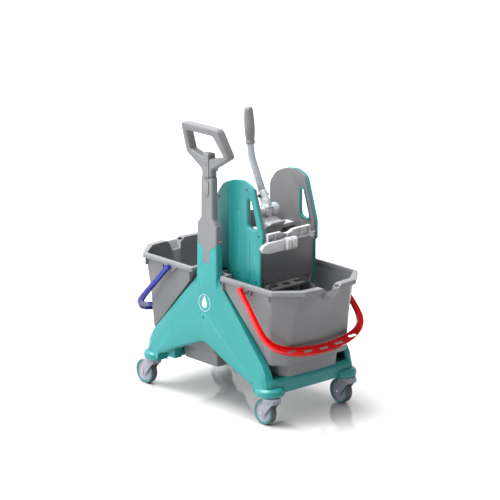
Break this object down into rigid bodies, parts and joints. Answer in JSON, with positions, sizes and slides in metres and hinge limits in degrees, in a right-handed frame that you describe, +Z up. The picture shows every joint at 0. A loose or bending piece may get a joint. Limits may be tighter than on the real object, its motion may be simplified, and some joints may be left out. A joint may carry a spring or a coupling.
{
  "type": "mop bucket trolley with wringer",
  "caption": "Double-bucket mopping trolley on swivel castors with push handle, lift-out buckets with swinging bails, and a lever press wringer with mop holder.",
  "frame": {"origin": "centre of the footprint on the floor, midway between the two buckets", "axes": "+Z up; +X towards the bucket that carries the wringer; -Y towards the side with the push handle"},
  "size_m": [0.767, 0.419, 0.9376],
  "materials": {
    "teal_plastic": "satin moulded plastic",
    "light_grey_plastic": "satin moulded plastic",
    "bucket_plastic": "satin moulded plastic",
    "liner_plastic": "satin moulded plastic",
    "dark_plastic": "satin moulded plastic",
    "fork_plastic": "satin moulded plastic",
    "white_plastic": "semi-gloss moulded plastic",
    "red_plastic": "semi-gloss moulded plastic",
    "blue_plastic": "semi-gloss moulded plastic",
    "tyre_rubber": "matt grey tread",
    "grip_rubber": "matt soft grip",
    "aluminium": "drawn tube",
    "cast_aluminium": "cast and tumbled",
    "steel": "zinc plated",
    "dark_steel": "blackened"
  },
  "bodies": {
    "chassis": {"side_frame_near": "teal_plastic", "side_frame_far": "teal_plastic", "end_beam_red": "teal_plastic", "end_beam_blue": "teal_plastic", "push_handle_column": "light_grey_plastic", "push_handle_grip": "light_grey_plastic", "push_handle_button": "light_grey_plastic", "handle_latch": "light_grey_plastic", "far_socket_cap": "light_grey_plastic", "castor_stem_blue_near": "steel", "castor_stem_blue_far": "steel", "castor_stem_red_near": "steel", "castor_stem_red_far": "steel"},
    "castor_blue_near": {"castor_fork_blue_near": "fork_plastic", "castor_axle_blue_near": "steel"},
    "wheel_blue_near": {"wheel_core_blue_near": "fork_plastic", "wheel_tyre_blue_near": "tyre_rubber"},
    "castor_blue_far": {"castor_fork_blue_far": "fork_plastic", "castor_axle_blue_far": "steel"},
    "wheel_blue_far": {"wheel_core_blue_far": "fork_plastic", "wheel_tyre_blue_far": "tyre_rubber"},
    "castor_red_near": {"castor_fork_red_near": "fork_plastic", "castor_axle_red_near": "steel"},
    "wheel_red_near": {"wheel_core_red_near": "fork_plastic", "wheel_tyre_red_near": "tyre_rubber"},
    "castor_red_far": {"castor_fork_red_far": "fork_plastic", "castor_axle_red_far": "steel"},
    "wheel_red_far": {"wheel_core_red_far": "fork_plastic", "wheel_tyre_red_far": "tyre_rubber"},
    "red_bucket": {"bucket_red": "bucket_plastic"},
    "blue_bucket": {"bucket_blue": "bucket_plastic"},
    "red_bail": {"bail_red": "red_plastic"},
    "blue_bail": {"bail_blue": "blue_plastic"},
    "wringer": {"wringer_panel_near": "teal_plastic", "wringer_panel_far": "teal_plastic", "wringer_liner_near": "liner_plastic", "wringer_liner_far": "liner_plastic", "wringer_front_plate": "dark_plastic", "wringer_back_plate": "liner_plastic", "wringer_floor": "liner_plastic", "wringer_yoke": "light_grey_plastic", "lever_hub_pin": "steel", "holder_rail": "white_plastic", "holder_jaw": "white_plastic", "panel_screw_near_1": "dark_steel", "panel_screw_near_2": "dark_steel", "panel_screw_near_3": "dark_steel", "panel_screw_near_4": "dark_steel", "panel_screw_far_1": "dark_steel", "panel_screw_far_2": "dark_steel", "panel_screw_far_3": "dark_steel", "panel_screw_far_4": "dark_steel"},
    "lever": {"lever_casting": "cast_aluminium", "lever_tube": "aluminium", "lever_grip": "grip_rubber", "lever_bolt_1": "dark_steel", "lever_bolt_2": "dark_steel"},
    "press": {"press_plate": "liner_plastic"}
  },
  "joints": [
    {"name": "swivel_blue_near", "type": "hinge", "parent": "chassis", "child": "castor_blue_near", "pos_m": [-0.283, -0.161, 0.0938], "axis": [0, 0, 1], "continuous": true},
    {"name": "roll_blue_near", "type": "hinge", "parent": "castor_blue_near", "child": "wheel_blue_near", "pos_m": [-0.313, -0.161, 0.04], "axis": [0, 1, 0], "continuous": true},
    {"name": "swivel_blue_far", "type": "hinge", "parent": "chassis", "child": "castor_blue_far", "pos_m": [-0.283, 0.161, 0.0938], "axis": [0, 0, 1], "continuous": true},
    {"name": "roll_blue_far", "type": "hinge", "parent": "castor_blue_far", "child": "wheel_blue_far", "pos_m": [-0.313, 0.161, 0.04], "axis": [0, 1, 0], "continuous": true},
    {"name": "swivel_red_near", "type": "hinge", "parent": "chassis", "child": "castor_red_near", "pos_m": [0.283, -0.161, 0.0938], "axis": [0, 0, 1], "continuous": true},
    {"name": "roll_red_near", "type": "hinge", "parent": "castor_red_near", "child": "wheel_red_near", "pos_m": [0.253, -0.161, 0.04], "axis": [0, 1, 0], "continuous": true},
    {"name": "swivel_red_far", "type": "hinge", "parent": "chassis", "child": "castor_red_far", "pos_m": [0.283, 0.161, 0.0938], "axis": [0, 0, 1], "continuous": true},
    {"name": "roll_red_far", "type": "hinge", "parent": "castor_red_far", "child": "wheel_red_far", "pos_m": [0.253, 0.161, 0.04], "axis": [0, 1, 0], "continuous": true},
    {"name": "red_bucket_lift", "type": "slide", "parent": "chassis", "child": "red_bucket", "axis": [0, 0, 1], "range_m": [0, 0.3]},
    {"name": "blue_bucket_lift", "type": "slide", "parent": "chassis", "child": "blue_bucket", "axis": [0, 0, 1], "range_m": [0, 0.3]},
    {"name": "red_bail_swing", "type": "hinge", "parent": "red_bucket", "child": "red_bail", "pos_m": [0.17, 0, 0.42], "axis": [0, -1, 0], "range_deg": [0, 105]},
    {"name": "blue_bail_swing", "type": "hinge", "parent": "blue_bucket", "child": "blue_bail", "pos_m": [-0.17, 0, 0.42], "axis": [0, 1, 0], "range_deg": [0, 137]},
    {"name": "wringer_lift", "type": "slide", "parent": "red_bucket", "child": "wringer", "axis": [0, 0, 1], "range_m": [0, 0.35]},
    {"name": "lever_pull", "type": "hinge", "parent": "wringer", "child": "lever", "pos_m": [0.087, 0, 0.625], "axis": [0, 1, 0], "range_deg": [0, 85]},
    {"name": "press_swing", "type": "hinge", "parent": "wringer", "child": "press", "pos_m": [0.05, 0, 0.545], "axis": [0, 1, 0], "range_deg": [-34, 0]}
  ],
  "couplings": [
    {"joint": "press_swing", "follows": "lever_pull", "ratio": -0.4}
  ]
}
